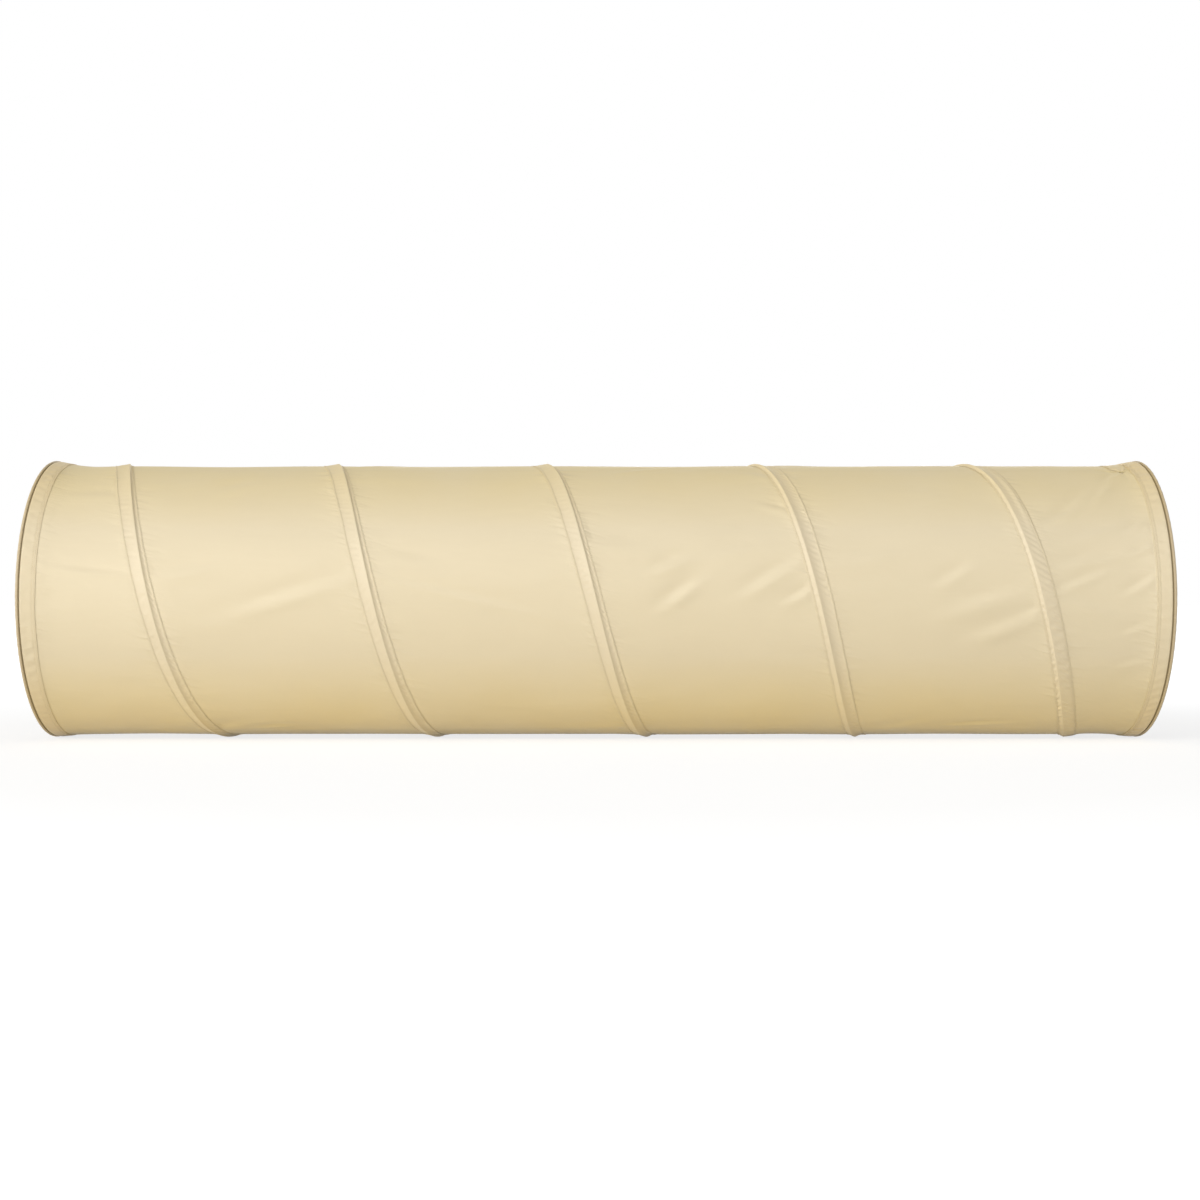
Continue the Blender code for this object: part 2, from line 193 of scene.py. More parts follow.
left_bodies = ["left_end", *(f"turn_{k}" for k in range(1, 6))]
into_cap = 0.0011


def together(*parts):
    """Arrays of one shape, once broadcast, as the last axis of one array."""
    return np.stack(np.broadcast_arrays(*parts), -1)


def flare(x):
    """The end's flare as a share: the square of how far x is from where the tube is straight to the hem."""
    inwards = half_length - np.abs(x)
    return np.clip((flare_begins - inwards) / (flare_begins - hem_begins), 0, 1) ** 2


def tube_radius(x):
    """The cloth tube's radius: constant, and wider by the flare towards the ends."""
    return cloth_radius + cloth_flare * flare(x)


def on_tube(x, radius, turn, height=None):
    """Points at x, at a radius from the axis and a turn round it: the axis rises a little with the flare."""
    height = cloth_height + (ring_height - cloth_height) * flare(x) if height is None else height
    angle = turn * math.tau
    return together(x, -radius * np.sin(angle), height + radius * np.cos(angle))


def wire_x(turn):
    """How far along X the coil is: a pitch a turn, and at either end a parabola that brings it to rest
    beside the hem."""
    even = first_top + pitch * turn
    in_left = np.clip(1 - (run_in_ends - turn) / coming_to_rest, 0, 1)
    out_left = np.clip(1 - (turn - run_out_begins) / coming_to_rest, 0, 1)
    starts = rest_margin - half_length + pitch * coming_to_rest / 2 * in_left**2
    stops = half_length - rest_margin - pitch * coming_to_rest / 2 * out_left**2
    return np.where(turn < run_in_ends, starts, np.where(turn > run_out_begins, stops, even))


def ridge_offset(turn):
    """How far the wire is right of its casing's middle: a raised cosine once a turn, to the right at the
    first tops and to the left at the last, where it gives up less of its offset at the floor, and eased to
    the right where the coil comes to rest."""
    side = np.where(turn < 2.5, 1, -1)
    given_up = 1 - held_over * np.maximum(0, np.floor(turn) - 2)
    swings = side * ridge_sway * (1 - given_up * (1 - np.cos(turn * math.tau)) / 2)
    last_given = 1 - held_over * (math.floor(run_out_begins) - 2)
    at_run = -ridge_sway * (1 - last_given * (1 - math.cos(run_out_begins * math.tau)) / 2)
    into = np.clip((run_in_ends - turn) / coming_to_rest, 0, 1)
    outof = np.clip((turn - run_out_begins) / coming_to_rest, 0, 1)
    eased = at_run + (ridge_sway - at_run) * (1 - np.cos(outof * math.pi)) / 2
    starts = ridge_sway * np.cos(into * math.pi)
    return np.where(turn < run_in_ends, starts, np.where(turn > run_out_begins, eased, swings))


def held_radius(turn):
    """The radius of what the casing covers: the wire, and at the coil's two ends the cap over it."""
    from_end = np.minimum(turn - coil_first, coil_last - turn)
    near = np.clip(1.5 - from_end * corners / 1.2, 0, 1)
    return wire_radius + (cap_radius - wire_radius) * near * near * (3 - 2 * near)


def put(name, mesh, material, body, slot=None, *stands_for):
    """Makes a mesh a piece of the object: its material and the body that it rides on. Where a slot is given,
    the solids that it stands for are hidden."""
    mesh.materials.append(material)
    piece = bpy.data.objects.new(name, mesh)
    bpy.context.scene.collection.objects.link(piece)
    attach(piece, body)
    if slot:
        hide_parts(*stands_for)
    return piece


def fold_with_bay(piece):
    """Gives a piece its own copy of its mesh."""
    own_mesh(piece)


def surface(name, points, plan, seam=None, ring=False, normals=None):
    """A smooth mesh of one quad between each four neighbours of a grid of points (rows, columns, 3), facing
    the way that row direction cross column direction points. A ring joins its last row to its first. plan
    is the flat cloth's (along, across) in metres at each point, with one row more for a ring, and becomes
    the UV map. seam is each point's distance from the nearest row of stitching."""
    rows, columns = points.shape[:2]
    here = np.arange(rows if ring else rows - 1)[:, None] * columns
    left = np.arange(columns - 1)[None, :]
    following = here + columns
    corners = [here + left, following + left, following + left + 1, here + left + 1]
    on_plan = np.stack(corners, -1).reshape(-1, 4)
    quads = on_plan % (rows * columns)
    mesh = bpy.data.meshes.new(name)
    mesh.vertices.add(rows * columns)
    mesh.vertices.foreach_set("co", points.astype(np.float32).ravel())
    mesh.loops.add(quads.size)
    mesh.loops.foreach_set("vertex_index", quads.astype(np.int32).ravel())
    mesh.polygons.add(len(quads))
    mesh.polygons.foreach_set("loop_start", np.arange(0, quads.size, 4, dtype=np.int32))
    mesh.update(calc_edges=True)
    laid = mesh.uv_layers.new(name="flat_cloth")
    laid.uv.foreach_set("vector", plan.reshape(-1, 2)[on_plan.ravel()].astype(np.float32).ravel())
    if seam is not None:
        distance = mesh.attributes.new("from_seam", "FLOAT", "POINT")
        distance.data.foreach_set("value", seam.astype(np.float32).ravel())
    mesh.shade_smooth()
    if normals is not None:
        mesh.normals_split_custom_set_from_vertices(normals.reshape(-1, 3))
    return mesh


def unit(vectors):
    """Each vector of an array (..., 3) at a length of one."""
    return vectors / np.linalg.norm(vectors, axis=-1, keepdims=True)


def walk_along(path):
    """How far along a path each of its points is."""
    return np.concatenate([[0], np.cumsum(np.linalg.norm(np.diff(path, axis=0), axis=1))])


def wire(name, path, radius, sides=14):
    """A round wire along a path of points (rows, 3): circles square to the path, turned no more than the
    path makes them. radius may change along the path."""
    along = np.roll(path, -1, 0) - np.roll(path, 1, 0)
    along[0], along[-1] = path[1] - path[0], path[-1] - path[-2]
    along = unit(along)
    outwards = path - np.array([0, 0, cloth_height])
    outwards[:, 0] = 0
    outwards -= (outwards * along).sum(1)[:, None] * along
    outwards = unit(outwards)
    sideways = np.cross(along, outwards)
    turned = np.linspace(0, math.tau, sides + 1)
    angle = turned[None, :, None]
    size = np.broadcast_to(radius, len(path))[:, None, None]
    circle = np.cos(angle) * outwards[:, None] - np.sin(angle) * sideways[:, None]
    plan = together(walk_along(path)[:, None], turned * np.max(radius))
    return surface(name, path[:, None] + size * circle, plan)


def new_material(name):
    """An empty material, its node tree and its one shader."""
    made = bpy.data.materials.new(name)
    made.use_nodes = True
    return made, made.node_tree, made.node_tree.nodes["Principled BSDF"]


def raise_relief(tree, height, strength, distance):
    """Lets a height, in shares of a distance in metres, turn the shader's normal."""
    bump = tree.nodes.new("ShaderNodeBump")
    bump.inputs["Strength"].default_value = strength
    bump.inputs["Distance"].default_value = distance
    tree.links.new(height, bump.inputs["Height"])
    tree.links.new(bump.outputs[0], tree.nodes["Principled BSDF"].inputs["Normal"])


def new_group(name, inputs, outputs):
    """An empty shader node group with sockets from (name, kind, value) and (name, kind)."""
    made = bpy.data.node_groups.new(name, "ShaderNodeTree")
    for label, kind, value in inputs:
        socket = made.interface.new_socket(label, in_out="INPUT", socket_type=f"NodeSocket{kind}")
        if value is not None:
            socket.default_value = value
    for label, kind in outputs:
        made.interface.new_socket(label, in_out="OUTPUT", socket_type=f"NodeSocket{kind}")
    return made, made.nodes.new("NodeGroupInput").outputs, made.nodes.new("NodeGroupOutput").inputs


def stretched(tree, vector, scale):
    """The vector with each part multiplied by its own number."""
    node = tree.nodes.new("ShaderNodeMapping")
    node.vector_type = "POINT"
    node.inputs["Scale"].default_value = scale
    tree.links.new(vector, node.inputs["Vector"])
    return node.outputs[0]


def noise(tree, vector, scale=1.0, detail=2.0, roughness=0.5, distortion=0.0):
    """A noise texture's value at a vector."""
    node = tree.nodes.new("ShaderNodeTexNoise")
    node.inputs["Scale"].default_value = scale
    node.inputs["Detail"].default_value = detail
    node.inputs["Roughness"].default_value = roughness
    node.inputs["Distortion"].default_value = distortion
    tree.links.new(vector, node.inputs["Vector"])
    return node.outputs["Fac"]


def mixed(tree, share, first, second):
    """A colour between two, each a colour or another node's output, at a share."""
    node = tree.nodes.new("ShaderNodeMix")
    node.data_type = "RGBA"
    tree.links.new(share, node.inputs[0])
    for socket, value in zip([s for s in node.inputs if s.type == "RGBA"], (first, second)):
        if isinstance(value, tuple):
            socket.default_value = (*value, 1)
        else:
            tree.links.new(value, socket)
    return next(s for s in node.outputs if s.type == "RGBA")


# The steel: cold-drawn spring wire with the fine lines of the die along it and a thin brown oil film.
def brushed_steel(name, colour, roughness, lines_per_metre):
    """Steel drawn along the U of its UV map: streaks of noise, long that way and thin across it, shade the
    colour and the roughness and raise a little relief."""
    made, tree, shader = new_material(name)
    laid = tree.nodes.new("ShaderNodeUVMap")
    laid.uv_map = "flat_cloth"
    lines = stretched(tree, laid.outputs[0], (6.0, lines_per_metre, 1.0))
    streaks = noise(tree, lines, detail=4, roughness=0.6)
    stains = noise(tree, stretched(tree, laid.outputs[0], (28.0, 40.0, 1.0)), detail=3)
    dark = tuple(part * 0.72 for part in colour)
    oiled = (colour[0] * 0.8, colour[1] * 0.68, colour[2] * 0.5)
    drawn = mixed(tree, streaks, colour, dark)
    film = maths(tree, "MULTIPLY", stains, 0.5)
    tree.links.new(mixed(tree, film, drawn, oiled), shader.inputs["Base Color"])
    tree.links.new(maths(tree, "MULTIPLY_ADD", streaks, 0.25, roughness - 0.12), shader.inputs["Roughness"])
    shader.inputs["Metallic"].default_value = 1.0
    raise_relief(tree, streaks, 0.3, 0.00003)
    return made


spring_steel = brushed_steel("spring_steel", (0.46, 0.45, 0.44), 0.38, 9000.0)
for bay in range(1, bays + 1):
    starts, stops = max(coil_first, bay - 2), min(coil_last, bay - 1)
    turn = np.linspace(starts, stops, int(round((stops - starts) * wire_rows)) + 1)
    x = wire_x(turn)
    path = on_tube(x, tube_radius(x) + air + held_radius(turn), turn)
    if bay == 1:
        path[0] += unit(path[1] - path[0]) * into_cap
    if bay == bays:
        path[-1] += unit(path[-2] - path[-1]) * into_cap
    name, body = f"coil_{bay}", left_bodies[bay - 1]
    mesh = wire(name, path, wire_radius)
    piece = put(name, mesh, spring_steel, body, "spring_steel", f"coil_wire_bay_{bay}")
    fold_with_bay(piece)

# The caps: a dipped cup of soft black vinyl over each cut end of the coil wire, so that it can't pierce
# the cloth.
vinyl, tree, shader = new_material("dipped_vinyl")
laid = tree.nodes.new("ShaderNodeTexCoord")
skin_of_dip = noise(tree, laid.outputs["Object"], scale=900, detail=3)
black = mixed(tree, skin_of_dip, (0.018, 0.018, 0.019), (0.034, 0.033, 0.032))
tree.links.new(black, shader.inputs["Base Color"])
tree.links.new(maths(tree, "MULTIPLY_ADD", skin_of_dip, 0.25, 0.38), shader.inputs["Roughness"])
raise_relief(tree, skin_of_dip, 0.4, 0.00005)
cap_length = 0.014
for end, tip, way, bay in (("left", coil_first, 1, 1), ("right", coil_last, -1, bays)):
    down = cap_length * np.array([0.0, 0.004, 0.02, 0.06, 0.12, 0.3, 0.6, 0.94, 0.98, 1.0])
    size = cap_radius * np.array([0.02, 0.35, 0.65, 0.88, 1.0, 1.0, 1.0, 1.0, 0.94, 0.72])
    turn = tip + way * down / (math.tau * (cloth_radius + cap_radius))
    x = wire_x(turn)
    path = on_tube(x, tube_radius(x) + air + cap_radius, turn)
    mesh = wire(f"{end}_coil_cap", path, size)
    piece = put(f"{end}_coil_cap", mesh, vinyl, f"{end}_end", "cap_vinyl", f"{end}_coil_end_cap")
    fold_with_bay(piece)

# The end hoops: a ring of the same wire in each mouth's edge, its two ends butted at the back and held by
# a crimped steel sleeve.
ring_radius = 0.2300
piping_radius = 0.0032
hoop_radius = ring_radius - piping_radius
crimp_steel = brushed_steel("crimp_steel", (0.62, 0.61, 0.60), 0.42, 2600.0)
butt_turn = 0.75
butt = air / 2 / (math.tau * hoop_radius)
half = np.array([0.5, 0.9, 6.6, 7.0, 8.8, 9.2, 11.7, 11.96, 12.0])
wall = np.array([2.05, 2.2, 2.2, 1.9, 1.9, 2.2, 2.2, 2.0, 1.62])
crimp_along = np.append(-half[::-1], half) / 1000
crimp_size = np.append(wall[::-1], wall) / 1000
for end, side in (("left", -1), ("right", 1)):
    middle = side * (half_length - piping_radius)
    turn = np.linspace(butt_turn - 1 + butt, butt_turn - butt, 433)
    path = on_tube(np.full(len(turn), middle), hoop_radius, turn, ring_height)
    mesh = wire(f"{end}_hoop", path, wire_radius)
    put(f"{end}_hoop", mesh, spring_steel, f"{end}_end", "spring_steel", f"{end}_hoop_wire")
    turn = butt_turn + crimp_along / (math.tau * hoop_radius)
    path = on_tube(np.full(len(turn), middle), hoop_radius, turn, ring_height)
    mesh = wire(f"{end}_crimp", path, crimp_size)
    put(f"{end}_crimp", mesh, crimp_steel, f"{end}_end", "crimp_steel", f"{end}_hoop_sleeve")

# The cloth tube: thin plain-woven polyester with a dry sheen, one sheet rolled round and closed by a seam
# that lies low at the back. The coil pushes the ends apart, so it hangs taut, with soft folds where the
# stitching gathers it.
casing_half = 0.015
stitch_inset = 0.0016
fold_end = 0.0052
empty_end = 5.056
tack_x = 0.8550
tack_half = 0.0060
skin_begins = 0.0243
seam_turn = 0.625
round_tube = math.tau * cloth_radius
weave, given, result = new_group(
    "plain_weave", [("Cloth", "Vector", None), ("Thread", "Float", 0.0003)], [("Height", "Float")]
)
parts = weave.nodes.new("ShaderNodeSeparateXYZ")
weave.links.new(given["Cloth"], parts.inputs[0])
warp = maths(weave, "DIVIDE", parts.outputs[0], given["Thread"])
weft = maths(weave, "DIVIDE", parts.outputs[1], given["Thread"])
square = maths(weave, "ADD", maths(weave, "FLOOR", warp), maths(weave, "FLOOR", weft))
over = maths(weave, "PINGPONG", square, 1.0)
warp_round = maths(weave, "ABSOLUTE", maths(weave, "SINE", maths(weave, "MULTIPLY", warp, math.pi)))
weft_round = maths(weave, "ABSOLUTE", maths(weave, "SINE", maths(weave, "MULTIPLY", weft, math.pi)))
warp_top = maths(weave, "MULTIPLY", warp_round, over)
weft_top = maths(weave, "MULTIPLY", weft_round, maths(weave, "SUBTRACT", 1.0, over))
weave.links.new(maths(weave, "ADD", warp_top, weft_top), result["Height"])


def beside_seam(tree, distance, width):
    """One at the stitching, falling off as the exponential of minus the square of distance over width."""
    squared = maths(tree, "POWER", maths(tree, "DIVIDE", distance, width), 2.0)
    return maths(tree, "EXPONENT", maths(tree, "MULTIPLY", squared, -1.0))


gather, given, result = new_group(
    "gathers",
    [
        ("Cloth", "Vector", None),
        ("From Seam", "Float", 0.1),
        ("Reach", "Float", 0.016),
        ("Crease", "Float", 0.3),
    ],
    [("Height", "Float")],
)
flat = gather.nodes.new("ShaderNodeSeparateXYZ")
gather.links.new(given["Cloth"], flat.inputs[0])
leaning = gather.nodes.new("ShaderNodeCombineXYZ")
gather.links.new(maths(gather, "MULTIPLY_ADD", flat.outputs[1], -0.28, flat.outputs[0]), leaning.inputs[0])
gather.links.new(flat.outputs[1], leaning.inputs[1])
slanting = stretched(gather, leaning.outputs[0], (95.0, 17.0, 1.0))
rows_of = noise(gather, slanting, detail=1, distortion=0.6)
patches = noise(gather, stretched(gather, given["Cloth"], (14.0, 6.0, 1.0)), detail=1)
fading = maths(gather, "DIVIDE", maths(gather, "MAXIMUM", given["From Seam"], 0.0), given["Reach"])
held_in = maths(gather, "EXPONENT", maths(gather, "MULTIPLY", fading, -1.0))
strong = maths(gather, "MULTIPLY", held_in, maths(gather, "MULTIPLY_ADD", patches, 2.4, -0.55))
strong = maths(gather, "MULTIPLY", maths(gather, "MAXIMUM", strong, 0.0), 2.9)
pucker = maths(gather, "MULTIPLY", rows_of, strong)
close = stretched(gather, given["Cloth"], (34.0, 12.0, 1.0))
folds = noise(gather, close, detail=3, roughness=0.45, distortion=0.6)
sharp = maths(gather, "ABSOLUTE", maths(gather, "SUBTRACT", folds, 0.5))
wide_apart = stretched(gather, given["Cloth"], (13.0, 4.0, 1.0))
hollows = noise(gather, wide_apart, detail=2, roughness=0.4, distortion=0.8)
creased = maths(gather, "MULTIPLY", maths(gather, "MULTIPLY_ADD", hollows, 3.4, sharp), given["Crease"])
needle = maths(gather, "ABSOLUTE", maths(gather, "SINE", maths(gather, "MULTIPLY", flat.outputs[0], 1013.0)))
pinch = maths(gather, "MULTIPLY", needle, beside_seam(gather, given["From Seam"], 0.0016))
sunk = maths(gather, "MULTIPLY_ADD", pinch, 0.35, creased)
gather.links.new(maths(gather, "ADD", pucker, sunk), result["Height"])


def toned(tree, colour, saturation, value):
    """A colour with its saturation and its value multiplied."""
    node = tree.nodes.new("ShaderNodeHueSaturation")
    node.inputs["Saturation"].default_value = saturation
    node.inputs["Value"].default_value = value
    tree.links.new(colour, node.inputs["Color"])
    return node.outputs[0]


tones, given, result = new_group(
    "cloth_tones",
    [
        ("Cloth", "Vector", None),
        ("Place", "Vector", None),
        ("From Seam", "Float", 0.1),
        ("Painted Seam Shade", "Float", 0.14),
        ("Colour", "Color", None),
        ("Painted Shade Tint", "Color", None),
    ],
    [("Colour", "Color"), ("Roughness", "Float")],
)
thread_runs = noise(tones, stretched(tones, given["Cloth"], (420.0, 5.0, 1.0)), detail=3, roughness=0.6)
blotches = noise(tones, given["Place"], scale=5.0, detail=3)
height = tones.nodes.new("ShaderNodeSeparateXYZ")
tones.links.new(given["Place"], height.inputs[0])
# Painted shade: towards the bottom and the top of the tube the colour is mixed, in patches, towards a
# deeper, yellower tint that stands in for the floor's warm bounce below and the fading sheen above.
low = maths(tones, "MAXIMUM", maths(tones, "MULTIPLY_ADD", height.outputs[2], -7.0, 1.0), 0.0)
high = maths(tones, "MAXIMUM", maths(tones, "MULTIPLY_ADD", height.outputs[2], 8.0, -2.7), 0.0)
patchy = maths(tones, "MULTIPLY_ADD", blotches, 0.9, 0.25)
painted_tint_share = maths(tones, "MULTIPLY", maths(tones, "ADD", low, high), patchy)
uneven = maths(tones, "MULTIPLY_ADD", thread_runs, 0.55, -0.05)
deep = toned(tones, given["Colour"], 1.10, 0.95)
woven = mixed(tones, maths(tones, "MULTIPLY", uneven, blotches), given["Colour"], deep)
with_painted_tint = mixed(tones, painted_tint_share, woven, given["Painted Shade Tint"])
# Painted shade: beside the stitching and in the grooves, the colour is mixed towards a darker, more
# saturated copy of itself, by the material's seam shade share.
beside = beside_seam(tones, given["From Seam"], 0.0009)
# Painted shadow: where from_seam is below zero, in the bar tack's pit, the colour turns fully to the dark
# copy.
painted_tack_shadow = maths(tones, "MAXIMUM", maths(tones, "MULTIPLY", given["From Seam"], -480.0), 0.0)
painted_tack_shadow = maths(tones, "MINIMUM", painted_tack_shadow, 1.0)
painted_shade_share = maths(tones, "MAXIMUM", maths(tones, "MULTIPLY", beside, given["Painted Seam Shade"]), painted_tack_shadow)
tones.links.new(mixed(tones, painted_shade_share, with_painted_tint, toned(tones, with_painted_tint, 1.3, 0.5)), result["Colour"])
tones.links.new(maths(tones, "MULTIPLY_ADD", thread_runs, 0.12, 0.42), result["Roughness"])


def cloth(name, colour, shade_tint, crease, reach, relief, seam_shade=0.14):
    """A woven cloth: its tones, with painted shade, its weave and its gathers from the groups, on the flat
    cloth's own plan.
    """
    made, tree, shader = new_material(name)
    laid = tree.nodes.new("ShaderNodeUVMap")
    laid.uv_map = "flat_cloth"
    place = tree.nodes.new("ShaderNodeTexCoord")
    stitched = tree.nodes.new("ShaderNodeAttribute")
    stitched.attribute_name = "from_seam"
    shades, threads, drawn_in = (tree.nodes.new("ShaderNodeGroup") for _ in range(3))
    fed = {"Cloth": laid.outputs[0], "Place": place.outputs["Object"], "From Seam": stitched.outputs["Fac"]}
    for node, group in ((shades, tones), (threads, weave), (drawn_in, gather)):
        node.node_tree = group
        for label, output in fed.items():
            if label in node.inputs:
                tree.links.new(output, node.inputs[label])
    shades.inputs["Colour"].default_value = (*colour, 1)
    shades.inputs["Painted Shade Tint"].default_value = (*shade_tint, 1)
    shades.inputs["Painted Seam Shade"].default_value = seam_shade
    drawn_in.inputs["Crease"].default_value = crease
    drawn_in.inputs["Reach"].default_value = reach
    tree.links.new(shades.outputs["Colour"], shader.inputs["Base Color"])
    tree.links.new(shades.outputs["Roughness"], shader.inputs["Roughness"])
    both = maths(tree, "MULTIPLY_ADD", threads.outputs["Height"], 0.02, drawn_in.outputs["Height"])
    raise_relief(tree, both, 1.0, relief)
    shader.inputs["Specular IOR Level"].default_value = 0.55
    shader.inputs["Sheen Weight"].default_value = 0.01
    shader.inputs["Sheen Roughness"].default_value = 0.5
    shader.inputs["Sheen Tint"].default_value = (1.0, 0.92, 0.78, 1)
    return made


def neighbours(x, turn):
    """For points at x and a turn: the distance to the nearest edge of a casing or hem, and how far across
    they are from the seam on the left to that on the right, as a share."""
    left = np.full(np.broadcast(x, turn).shape, hem_ends - half_length)
    right = -left
    nearest = np.minimum(x - left, right - x)
    for whole in range(-1, 6):
        on_coil = turn % 1 + whole
        middle = wire_x(on_coil) - ridge_offset(on_coil)
        real = (on_coil > coil_first - fold_end) & (on_coil < empty_end)
        nearest = np.where(real, np.minimum(nearest, np.abs(x - middle) - casing_half), nearest)
        left = np.where(real & (middle < x), np.maximum(left, middle), left)
        right = np.where(real & (middle >= x), np.minimum(right, middle), right)
    return nearest, (x - left) / (right - left)


# Soft folds seen on the front: where the middle of each is along X and in turns, its half length and half
# width, how it slopes as metres of turn for a metre of X, and how proud it stands. Chance lays more of them
# round the back. Under these lamps each reads right a quarter wider and nearly half as proud again.
seen_folds = [
    (-0.476, 0.250, 0.100, 0.011, -0.30, 0.0016),
    (0.116, 0.213, 0.030, 0.008, -0.42, 0.0014),
    (0.133, 0.247, 0.036, 0.009, -0.70, 0.0017),
    (0.272, 0.229, 0.048, 0.009, -0.60, 0.0016),
    (0.320, 0.247, 0.032, 0.007, -0.50, 0.0013),
    (0.295, 0.140, 0.034, 0.006, 0.28, 0.0012),
    (0.596, 0.257, 0.060, 0.011, -0.30, 0.0013),
    (0.636, 0.284, 0.055, 0.010, -0.34, 0.0013),
    (0.759, 0.208, 0.034, 0.008, -0.25, 0.0013),
    (0.780, 0.174, 0.036, 0.007, -0.33, 0.0011),
    (0.847, 0.236, 0.026, 0.006, -0.55, 0.0011),
    (-0.205, 0.248, 0.120, 0.006, 0.24, 0.0008),
    (-0.784, 0.220, 0.052, 0.005, 0.10, 0.0009),
    (0.770, 0.128, 0.055, 0.009, -1.10, 0.0014),
    (0.802, 0.118, 0.045, 0.007, -1.30, 0.0012),
    (0.840, 0.070, 0.030, 0.006, -1.60, 0.0011),
    (0.735, 0.150, 0.030, 0.006, -0.50, 0.0010),
    (0.802, 0.205, 0.032, 0.007, -0.35, 0.0010),
    (0.775, 0.262, 0.040, 0.009, 0.25, 0.0009),
    (0.560, 0.225, 0.030, 0.008, -0.55, 0.0011),
    (0.225, 0.196, 0.055, 0.010, -0.20, 0.0010),
    (-0.300, 0.205, 0.045, 0.009, 0.15, 0.0009),
    (-0.640, 0.222, 0.050, 0.010, -0.15, 0.0010),
    (0.620, 0.428, 0.045, 0.005, -0.10, 0.0012),
    (-0.520, 0.436, 0.030, 0.005, -0.10, 0.0010),
    (0.752, 0.232, 0.050, 0.006, -0.42, 0.0010),
    (0.850, 0.195, 0.020, 0.004, -0.45, 0.0010),
    (0.846, 0.165, 0.018, 0.004, -0.60, 0.0009),
    (0.838, 0.285, 0.022, 0.005, -0.35, 0.0006),
    (0.836, 0.325, 0.020, 0.005, -0.25, 0.0005),
    (0.690, 0.262, 0.028, 0.006, -0.40, 0.0009),
    (0.430, 0.205, 0.060, 0.012, -0.18, 0.0010),
    (0.020, 0.190, 0.070, 0.014, 0.10, 0.0010),
]
chance = np.random.default_rng(11)
spread = 46
unseen_folds = np.stack(
    [
        chance.uniform(-0.82, 0.82, spread),
        chance.uniform(0.42, 1.12, spread),
        chance.uniform(0.025, 0.085, spread),
        chance.uniform(0.006, 0.013, spread),
        chance.uniform(-0.55, 0.35, spread),
        chance.uniform(0.0003, 0.0009, spread),
    ],
    -1,
)
folds = np.concatenate([seen_folds, unseen_folds])
folds[:, 3] *= 1.25
folds[:, 5] *= 1.45
waves = np.arange(2, 12)
swells = chance.uniform(-26, 26, len(waves))
phases = chance.uniform(0, math.tau, len(waves))


def round_from(at, turn):
    """How far round the tube, by the shorter way and in metres, a turn is from the one given first."""
    return ((turn - at + 0.5) % 1 - 0.5) * math.tau * cloth_radius


def bell(distance, width):
    """One at no distance, falling off as the exponential of minus the square of distance over width."""
    return np.exp(-((distance / width) ** 2))


def from_tack(x, turn):
    """The distance to the bar tack that holds the casing's right end."""
    return np.hypot(x - tack_x, round_from(empty_end, turn))


def tuck(x, turn):
    """How far all layers are drawn in at that bar tack: a wide bell of a hollow with a small deep one in it,
    and a rosette of seven creases round it that are deepest 13 mm away."""
    away = from_tack(x, turn)
    bearing = np.arctan2(round_from(empty_end, turn), x - tack_x)
    creases = 0.0006 * away / 0.013 * np.exp(1 - away / 0.013) * np.sin(7 * bearing + 0.8)
    return creases - 0.0020 * bell(away, 0.030) - 0.0040 * bell(away, 0.0050)


def drape(x, turn):
    """How far the cloth stands off its even tube. It draws in between the coil's turns by a sine squared.
    Slow swells, sines of whole numbers of waves round the tube, and folds, each a ridge of bell section with
    a trough along its upper side, fade to nothing at the stitching. The lengthwise seam is a groove."""
    nearest, across = neighbours(x, turn)
    free = np.clip(nearest / 0.010, 0, 1)
    free = free * free * (3 - 2 * free)
    lift = np.zeros(free.shape)
    for count, swell, phase in zip(waves, swells, phases):
        lift = lift + 0.0011 / (count + 2) * np.sin(count * turn * math.tau + swell * x + phase)
    for middle, at, half, wide, slope, proud in folds:
        right = x - middle
        down = round_from(at, turn)
        tilt = math.hypot(1, slope)
        along = (right + down * slope) / tilt
        off = (down - right * slope) / tilt
        ridge = bell(off, wide) - bell(off + 1.35 * wide, 1.1 * wide)
        lift = lift + proud * ridge * bell(along, half)
    waist = -0.0008 * np.sin(np.clip(across, 0, 1) * math.pi) ** 2
    pull = np.where(across < 0.5, 0.0001, 0.0003)
    sewn = -pull * bell(nearest, 0.0024) - 0.0007 * bell(round_from(seam_turn, turn), 0.0022)
    return (lift + waist) * free + sewn + tuck(x, turn)


def slopes(points):
    """Unit normals of a grid of points: row direction cross column direction, by differences of neighbours.
    Only the inner columns are given, and rows go round."""
    down = np.roll(points, -1, 0) - np.roll(points, 1, 0)
    return unit(np.cross(down[:, 1:-1], points[:, 2:] - points[:, :-2]))


